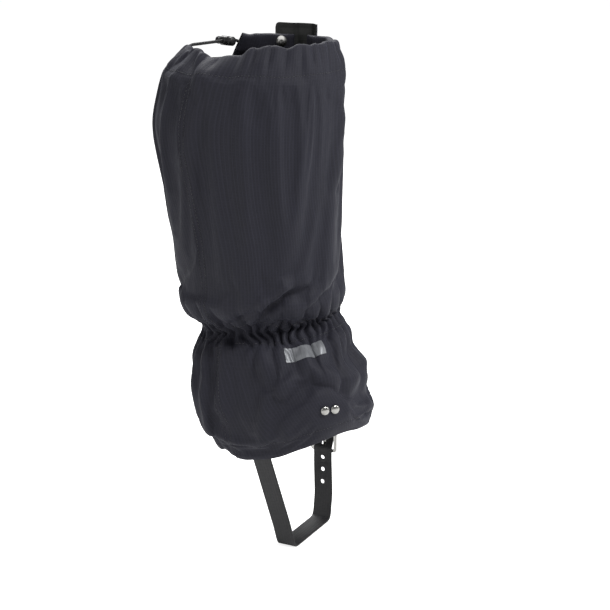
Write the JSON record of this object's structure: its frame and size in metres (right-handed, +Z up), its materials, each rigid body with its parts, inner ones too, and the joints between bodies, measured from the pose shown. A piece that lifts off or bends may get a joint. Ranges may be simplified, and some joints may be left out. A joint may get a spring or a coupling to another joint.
{
  "type": "hiking gaiter",
  "caption": "Knee-length fabric hiking gaiter with gathered ankle, drawcord rim, side zip under a storm flap, lace hook and buckled underfoot strap.",
  "frame": {"origin": "on the leg's axis at the ankle, level with the underside of the underfoot strap", "axes": "+Z up the leg, -Y towards the toes, +Y towards the calf, +X towards the zip side, -X the plain outer side"},
  "size_m": [0.1527, 0.2118, 0.491],
  "materials": {
    "ripstop_cloth": "matt charcoal woven ripstop with a coated back",
    "lining_cloth": "matt black woven tape and elastic",
    "moulded_plastic": "moulded black acetal",
    "nickel_plate": "nickel-plated, bright",
    "coated_strap": "smooth coated webbing",
    "braided_cord": "braided black cord",
    "reflective_film": "grey heat-bonded reflective film"
  },
  "bodies": {
    "gaiter": {"upper_front_panel": "ripstop_cloth", "upper_rear_panel": "ripstop_cloth", "lower_front_panel": "ripstop_cloth", "lower_rear_panel": "ripstop_cloth", "top_hem_long": "ripstop_cloth", "top_hem_short": "ripstop_cloth", "flap_seam_strip": "ripstop_cloth", "notch_binding": "lining_cloth", "ankle_elastic": "lining_cloth", "ankle_casing": "lining_cloth", "bottom_hem_band": "lining_cloth", "zip_tape_front": "lining_cloth", "zip_tape_rear": "lining_cloth", "loop_strip": "lining_cloth", "lace_hook_patch": "lining_cloth", "strap_anchor_patch": "lining_cloth", "zip_teeth_front": "moulded_plastic", "zip_teeth_rear": "moulded_plastic", "zip_stop_front": "moulded_plastic", "zip_stop_rear": "moulded_plastic", "zip_box": "moulded_plastic", "zip_pin": "moulded_plastic", "top_stud_male": "nickel_plate", "top_stud_post": "nickel_plate", "bottom_stud_male": "nickel_plate", "bottom_stud_post": "nickel_plate", "lace_hook": "nickel_plate", "lace_hook_rivet_rear": "nickel_plate", "lace_hook_rivet_front": "nickel_plate", "lace_hook_burr_rear": "nickel_plate", "lace_hook_burr_front": "nickel_plate", "buckle_frame": "nickel_plate", "underfoot_strap": "coated_strap", "buckle_tab": "coated_strap", "drawcord": "braided_cord", "reflective_strip": "reflective_film"},
    "flap": {"storm_flap": "ripstop_cloth", "hook_strip": "lining_cloth", "top_stud_cap": "nickel_plate", "top_stud_socket": "nickel_plate", "bottom_stud_cap": "nickel_plate", "bottom_stud_socket": "nickel_plate"},
    "slider": {"zip_slider": "nickel_plate"},
    "puller": {"zip_puller": "nickel_plate"},
    "cord_lock": {"cord_lock_barrel": "moulded_plastic", "cord_lock_spring": "nickel_plate"},
    "lock_button": {"cord_lock_plunger": "moulded_plastic"},
    "prong": {"buckle_prong": "nickel_plate"}
  },
  "joints": [
    {"name": "storm_flap_swing", "type": "hinge", "parent": "gaiter", "child": "flap", "pos_m": [0.0611, -0.022, 0.29], "axis": [0, 0, -1], "range_deg": [0, 100]},
    {"name": "zip_run", "type": "slide", "parent": "gaiter", "child": "slider", "axis": [0, 0, -1], "range_m": [0, 0.318]},
    {"name": "puller_swing", "type": "hinge", "parent": "slider", "child": "puller", "pos_m": [0.06195, -0.006, 0.4412], "axis": [0, -1, 0], "range_deg": [0, 8]},
    {"name": "cord_lock_run", "type": "slide", "parent": "gaiter", "child": "cord_lock", "axis": [-0.973, 0.231, 0], "range_m": [0, 0.03]},
    {"name": "lock_button_press", "type": "slide", "parent": "cord_lock", "child": "lock_button", "axis": [-0.231, -0.973, 0], "range_m": [0, 0.003], "stiffness_N_per_m": 300, "deforming": ["cord_lock_spring"]},
    {"name": "prong_swing", "type": "hinge", "parent": "gaiter", "child": "prong", "pos_m": [0.0549, -0.034, 0.086], "axis": [0, -1, 0], "range_deg": [0, 50]}
  ]
}
